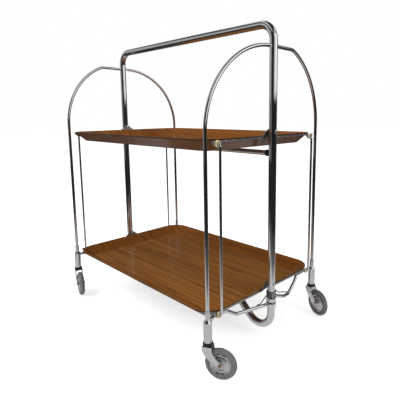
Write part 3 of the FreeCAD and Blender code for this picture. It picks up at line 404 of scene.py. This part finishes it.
def rounded_path(points, bends):
    """Straight runs joined by arcs of the given radii."""
    points = [Vector(p) for p in points]
    line = [points[0]]
    for corner, following, bend in zip(points[1:-1], points[2:], bends):
        run_in, run_out = corner - line[-1], following - corner
        before, after = run_in.normalized(), run_out.normalized()
        turn = before.angle(after)
        if turn < STRAIGHT:
            line.append(corner)
            continue
        setback = min(bend * math.tan(turn / 2), RUN_OUT_SHARE * run_out.length,
                      RUN_IN_SHARE * run_in.length)
        radius = setback / math.tan(turn / 2)
        centre = corner + (after - before).normalized() * (radius / math.cos(turn / 2))
        first = corner - before * setback - centre
        axis = before.cross(after).normalized()
        count = max(3, int(turn / ARC_STEP))
        for i in range(count + 1):
            line.append(centre + Matrix.Rotation(turn * i / count, 3, axis) @ first)
    line.append(points[-1])
    return line


def finish_piece(name, grid, matrix, material, body, replaced):
    """Turn a grid in millimetres into a piece that rides on a body and replaces a CAD node."""
    bmesh.ops.transform(grid, matrix=matrix @ Matrix.Scale(MM, 4), verts=grid.verts)
    bmesh.ops.recalc_face_normals(grid, faces=grid.faces)
    mesh = bpy.data.meshes.new(name)
    grid.to_mesh(mesh)
    grid.free()
    mesh.materials.append(MATERIALS[material])
    piece = add_object(name, mesh)
    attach(piece, body)
    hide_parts(replaced)


# ------------------------------------------------------------------ wheels, in millimetres

# radius and height over the wheel's middle, for one face
HUB_FACE = [(3.08, 7.8), (5.6, 7.8), (6.9, 7.2), (8.4, 4.8), (10.5, 4.1), (12.8, 5.3), (14.8, 5.5),
            (16.5, 4.3), (18.3, 3.8), (20.0, 4.6), (21.4, 6.1), (22.6, 6.5), (23.9, 5.2)]
TYRE_FACE = [(24.0, 5.0), (25.2, 6.4), (27.4, 7.0), (29.6, 6.9), (32.1, 5.6), (34.0, 3.1),
             (35.0, 0.9)]
CORNER_CUT, CUT_ROUNDS = 0.25, 2
WHEEL_STEPS = 72


def smooth_profile(points):
    """Corner cutting: the two ends stay where they are."""
    far, near = CORNER_CUT, 1 - CORNER_CUT
    for _ in range(CUT_ROUNDS):
        finer = [points[0]]
        for (r0, h0), (r1, h1) in zip(points, points[1:]):
            finer.append((near * r0 + far * r1, near * h0 + far * h1))
            finer.append((far * r0 + near * r1, far * h0 + near * h1))
        finer.append(points[-1])
        points = finer
    return points


def wheel_matrix(corner):
    """Local Z lies along the axle. The joint record says where the wheel turns."""
    joint = next(j for j in frame["joints"] if j["name"] == corner + "_spin")
    facing = Vector(joint["axis"]).to_track_quat("Z", "Y").to_matrix().to_4x4()
    return Matrix.Translation(Vector(joint["pos_m"])) @ facing


def add_wheel(corner):
    for piece, face, material, node in (("wheel_discs", HUB_FACE, "disc", "hub"),
                                        ("grey_tyre", TYRE_FACE, "rubber", "tyre")):
        rounded = smooth_profile(face)
        other_face = [(radius, -height) for radius, height in reversed(rounded)]
        grid = bmesh.new()
        turned(grid, rounded + other_face, WHEEL_STEPS)
        finish_piece("%s_%s" % (corner, piece), grid, wheel_matrix(corner), material,
                     corner + "_wheel", "%s_%s" % (corner, node))


# ------------------------------------------------------------------ bushes, in millimetres

BUSH_BORE, BUSH_NECK, BUSH_STEPS = 3.1, 4.0, 40
BUSH_Y = 165.0
BUSH_Z = {"upper": 490.0, "lower": 128.0}
# X of the plate's outside and of the bush's back; one half's plate lies over the other's
BUSH_PLATES = {"outer": (298.8, 295.1), "inner": (296.9, 293.2)}
# the flange's rim: radius, height over the plate
BUSH_RIM = [(7.0, 0.0), (7.2, 0.5)]
# the flange's rounded and hollowed face: radius, X
BUSH_FACE = [(6.7, 300.3), (5.8, 300.9), (4.9, 300.9), (4.1, 300.2), (3.4, 299.4),
             (BUSH_BORE, 298.6)]


def add_bushes(level, side_name, side):
    """Cream bushes with a rounded flange, hollowed where the link rod bends away."""
    grid = bmesh.new()
    for end in ENDS.values():
        plate, back = BUSH_PLATES["outer" if side * end > 0 else "inner"]
        profile = [(BUSH_BORE, back), (BUSH_NECK, back), (BUSH_NECK, plate)]
        profile += [(radius, plate + height) for radius, height in BUSH_RIM] + BUSH_FACE
        verts = turned(grid, profile, BUSH_STEPS)
        outward = Matrix.Rotation(end * math.pi / 2, 4, "Y")
        at = Matrix.Translation((0, side * BUSH_Y, BUSH_Z[level])) @ outward
        bmesh.ops.transform(grid, matrix=at, verts=verts)
    half = "%s_%s" % (level, side_name)
    finish_piece(half + "_round_bushes", grid, Matrix(), "cream", half + "_tray_half",
                 half + "_rod_bushes")


# ------------------------------------------------------------------ arms, springs, in millimetres

UPRIGHT_X = 308.0
LEG = (296.0, 197.0)
SLEEVE_BORE, SLEEVE_RADIUS, SLEEVE_HEIGHT, SLEEVE_BEVEL = 9.08, 11.5, 13.0, 0.25
UPRIGHT_STEPS = 64                 # facets of what goes round an upright
ARM_RADIUS, ARM_STEPS = 4.0, 20
WIRE_RADIUS, WIRE_STEPS = 1.25, 12
COIL_RANGE, COIL_TURNS = (116.6, 129.0), 6
COIL_BORE, COIL_ROOT, COIL_CROWN = 9.03, 10.7, 11.5
# one turn of the coil: radius, share of the pitch
COIL_SECTION = [(COIL_ROOT, 0.04), (COIL_CROWN, 0.3), (COIL_CROWN, 0.7), (COIL_ROOT, 0.96)]
# Two opposite arms are plain. The other two start above them and dip behind the plates.
SLEEVE_LOW = {"plain": 90.0, "dipped": 103.3}
# distance from the hinge axis, shift towards the middle of the trolley, height
ARM_PATHS = {
    "plain": [(10.3, 0, 98.6), (33, 3, 98.9), (60, 6, 100.3), (106, 10, 103.6),
              (134, 12.5, 120.5), (172, 12.5, 120.5), (189.6, 4.6, 120.5)],
    "dipped": [(10.3, 0, 110.4), (24, 1.5, 106.5), (64, 5, 89.5), (88, 6.5, 87.5), (120, 9, 107),
               (137, 12.5, 120.5), (172, 12.5, 120.5), (189.6, 4.6, 120.5)],
}
ARM_BENDS = {"plain": [30, 60, 16, 14, 12], "dipped": [20, 16, 14, 60, 14, 12]}
WIRE_PATHS = {
    "plain": [(11.9, 0, 123.5), (15.0, 0, 123.0), (35, 3.2, 105.2), (45, 4.4, 105.0)],
    "dipped": [(11.9, 0, 127.0), (15.2, 0, 126.4), (35, 3.0, 111.5), (84, 6.3, 93.4)],
}
WIRE_BENDS = {"plain": [2, 3], "dipped": [2, 8]}


def leg_matrix(side, end):
    """Local X runs from the hinge axis to the leg and local Y to the middle of the trolley."""
    hinge = Vector((end * UPRIGHT_X, 0, 0))
    along = (Vector((end * LEG[0], side * LEG[1], 0)) - hinge).normalized()
    inward = UP.cross(along)
    if inward.x * end > 0:
        inward = -inward
    axes = Matrix((along, inward, UP)).transposed().to_4x4()
    return Matrix.Translation(hinge * MM) @ axes


def add_arm(corner, side, end):
    """The bent arm with its hinge sleeve, and the spring's leg that leans on it."""
    kind = "dipped" if side * end > 0 else "plain"
    body = corner + "_leg"
    at = leg_matrix(side, end)
    low = SLEEVE_LOW[kind]
    top = low + SLEEVE_HEIGHT
    narrow = SLEEVE_RADIUS - SLEEVE_BEVEL
    grid = bmesh.new()
    sweep(grid, rounded_path(ARM_PATHS[kind], ARM_BENDS[kind]), ARM_RADIUS, ARM_STEPS)
    turned(grid, [(SLEEVE_BORE, low), (narrow, low), (SLEEVE_RADIUS, low + SLEEVE_BEVEL),
                  (SLEEVE_RADIUS, top - SLEEVE_BEVEL), (narrow, top), (SLEEVE_BORE, top)],
           UPRIGHT_STEPS)
    finish_piece(corner + "_bent_arm", grid, at, "rod", body, corner + "_arm")
    grid = bmesh.new()
    sweep(grid, rounded_path(WIRE_PATHS[kind], WIRE_BENDS[kind]), WIRE_RADIUS, WIRE_STEPS)
    finish_piece(corner + "_spring_leg", grid, at, "spring", body, corner + "_spring_wire")


def add_spring_coils():
    """The two springs of each end lie coil on coil round the upright, above the hinge sleeves."""
    low, top = COIL_RANGE
    pitch = (top - low) / COIL_TURNS
    profile = [(COIL_BORE, low)]
    for turn in range(COIL_TURNS):
        profile += [(radius, low + pitch * (turn + share)) for radius, share in COIL_SECTION]
    profile.append((COIL_BORE, top))
    grid = bmesh.new()
    for end in ENDS.values():
        turned(grid, profile, UPRIGHT_STEPS, end * UPRIGHT_X)
    finish_piece("spring_coils", grid, Matrix(), "spring", "frame", "spring_cups")


CORNERS = [("%s_%s" % (side_name, end_name), side, end)
           for side_name, side in SIDES.items() for end_name, end in ENDS.items()]
for corner, _, _ in CORNERS:
    add_wheel(corner)
for level in LEVELS:
    for side_name, side in SIDES.items():
        add_bushes(level, side_name, side)
for corner, side, end in CORNERS:
    add_arm(corner, side, end)
add_spring_coils()


# ------------------------------------------------------------------ studio

WHITE = (1, 1, 1, 1)
FLOOR_HALF = 14.0
FLOOR_TINTS = ((0.86, 0.86, 0.86), (0.90, 0.90, 0.90))
FLOOR_MOTTLE, FLOOR_ROUGH, FLOOR_GLOSS = 3.0, 0.9, 0.1
FLOOR_GLOW = 0.62                  # makes the floor white to the viewer
WORLD_DIM = 0.55                   # light of the surroundings on the part
LAMPS = [                          # name, place, aim, size, watts
    ("key", (-1.2, -2.2, 2.6), (0, 0, 0.35), (1.8, 1.8), 62.0),
    ("fill", (2.6, 0.2, 1.8), (0, 0, 0.4), (1.2, 1.6), 22.0),
]
ROOM_RADIUS = 3.6
ROOM_HEIGHT = 3.0
ROOM_STEPS = 48
APRON_HEIGHT = 0.003               # just over the floor
WALL_GLOW = 2.0
SILL, SILL_BLUR = 0.72, 0.06       # where the window starts
# share of a turn from -180 degrees, tone
LOW_TONES = [(0.00, 0.20), (0.09, 0.15), (0.14, 0.05), (0.20, 0.05), (0.23, 0.17), (0.26, 0.03),
             (0.32, 0.005), (0.56, 0.005), (0.66, 0.025), (0.75, 0.08), (0.88, 0.15), (1.00, 0.20)]
HIGH_TONES = [(0.00, 0.17), (0.10, 0.23), (0.16, 0.28), (0.20, 0.04), (0.26, 0.007),
              (0.38, 0.010), (0.43, 0.30), (0.48, 0.66), (0.61, 0.62), (0.67, 0.08),
              (0.76, 0.025), (0.92, 0.025), (0.96, 0.16), (1.00, 0.17)]
BLOTCH_TONE, BLOTCH_SHARE = (0.015, 0.015, 0.016), 0.3
BLOTCH_SCALE, BLOTCH_STRETCH = 0.9, (1.0, 1.0, 0.5)
# share of the room's width in the direction across the ceiling's panels, tone
CEILING_ACROSS = (0.82, 0.57)
CEILING_TONES = [(0.0, 0.10), (0.30, 0.08), (0.36, 0.75), (0.43, 0.75), (0.49, 0.05),
                 (0.72, 0.03), (0.80, 0.60), (0.90, 0.55), (1.0, 0.10)]
# share of the room's radius, tone
# painted shadow under the part and a painted pool of light round it, seen only in reflections
FLOOR_TONES = [(0.0, 0.05), (0.035, 0.10), (0.07, 0.54), (0.16, 0.64), (0.22, 0.12), (0.34, 0.02),
               (1.0, 0.02)]


def add_floor():
    """A matt floor that takes the shadow and glows white to the viewer."""
    half = FLOOR_HALF
    mesh = bpy.data.meshes.new("floor")
    mesh.from_pydata([(-half, -half, 0), (half, -half, 0), (half, half, 0), (-half, half, 0)], [],
                     [(0, 1, 2, 3)])
    g = new_material("floor")
    mottled = g.noise(g.coords(), FLOOR_MOTTLE, detail=2.0)
    g.surface(Base_Color=g.mix(mottled, *FLOOR_TINTS), Roughness=FLOOR_ROUGH,
              Specular_IOR_Level=FLOOR_GLOSS)
    glow = g.add("ShaderNodeEmission", Color=WHITE,
                 Strength=g.calc("MULTIPLY", g.seen(), FLOOR_GLOW))
    both = g.add("ShaderNodeAddShader")
    g.put(both.inputs[0], g.shader().outputs[0])
    g.put(both.inputs[1], glow.outputs[0])
    g.show(both.outputs[0])
    mesh.materials.append(g.owner)
    floor = add_object("floor", mesh)


def add_world():
    """White to the viewer, dimmer as a light."""
    world = bpy.data.worlds.new("studio")
    scene.world = world
    g = Graph(world)
    g.tree.nodes.clear()
    dim = g.add("ShaderNodeBackground", Color=WHITE, Strength=WORLD_DIM)
    white = g.add("ShaderNodeBackground", Color=WHITE, Strength=1.0)
    mix = g.add("ShaderNodeMixShader")
    for socket, value in zip(mix.inputs, (g.seen(), dim.outputs[0], white.outputs[0])):
        g.put(socket, value)
    g.add("ShaderNodeOutputWorld", Surface=mix.outputs[0])


def add_lamp(name, place, aim, size, power):
    """An area lamp that doesn't show in reflections."""
    data = bpy.data.lights.new(name, "AREA")
    data.shape = "RECTANGLE"
    data.size, data.size_y = size
    data.energy = power
    lamp = add_object(name, data)
    lamp.location = place
    lamp.rotation_euler = (Vector(aim) - Vector(place)).to_track_quat("-Z", "Y").to_euler()
    lamp.visible_glossy = False


def add_card(name, vertices, faces, tone_of, strength=1.0):
    """A card of the room around the set. Only glossy surfaces show it."""
    mesh = bpy.data.meshes.new(name)
    mesh.from_pydata(vertices, [], faces)
    g = new_material(name)
    g.tree.nodes.remove(g.shader())
    g.show(g.add("ShaderNodeEmission", Color=tone_of(g), Strength=strength).outputs[0])
    mesh.materials.append(g.owner)
    card = add_object(name, mesh)
    card.visible_camera = False
    card.visible_diffuse = False
    card.visible_shadow = False
    card.visible_transmission = False


def wall_tones(g):
    """Dark on most sides low down, a wide window above sill height."""
    at = g.coords()
    x, y, z = g.split(at)
    around = g.fade(g.calc("ARCTAN2", y, x), -math.pi, math.pi)
    above = g.fade(z, SILL - SILL_BLUR, SILL + SILL_BLUR)
    walls = g.mix(above, g.ramp(around, LOW_TONES), g.ramp(around, HIGH_TONES))
    blotch = g.noise(g.scaled(at, BLOTCH_STRETCH), BLOTCH_SCALE, detail=2.0)
    return g.mix(g.remap(blotch, 0.35, 0.65, 0.0, BLOTCH_SHARE), walls, BLOTCH_TONE)


def floor_tones(g):
    """A glowing stand-in for the floor in reflections: painted shadow right under the part, a
    painted pool of light round it, dark beyond.
    """
    x, y, _ = g.split(g.coords())
    reach = g.calc("SQRT", g.calc("ADD", g.calc("MULTIPLY", x, x), g.calc("MULTIPLY", y, y)))
    return g.ramp(g.fade(reach, 0.0, ROOM_RADIUS), FLOOR_TONES)


def ceiling_tones(g):
    """A dark ceiling with two bright panels across it."""
    x, y, _ = g.split(g.coords())
    across = g.calc("ADD", *(g.calc("MULTIPLY", *pair) for pair in zip((x, y), CEILING_ACROSS)))
    return g.ramp(g.fade(across, -ROOM_RADIUS, ROOM_RADIUS), CEILING_TONES)


def add_room():
    low, rim, high = ([(ROOM_RADIUS * x, ROOM_RADIUS * y, z) for x, y in circle(ROOM_STEPS)]
                      for z in (0.0, APRON_HEIGHT, ROOM_HEIGHT))
    walls = [(i, j, j + ROOM_STEPS, i + ROOM_STEPS)
             for i, j in ((i, (i + 1) % ROOM_STEPS) for i in range(ROOM_STEPS))]
    disc = [tuple(range(ROOM_STEPS))]
    add_card("walls", low + high, walls, wall_tones, WALL_GLOW)
    add_card("apron", rim, disc, floor_tones)
    add_card("ceiling", high, disc, ceiling_tones)


add_camera()
add_floor()
add_world()
for lamp in LAMPS:
    add_lamp(*lamp)
add_room()
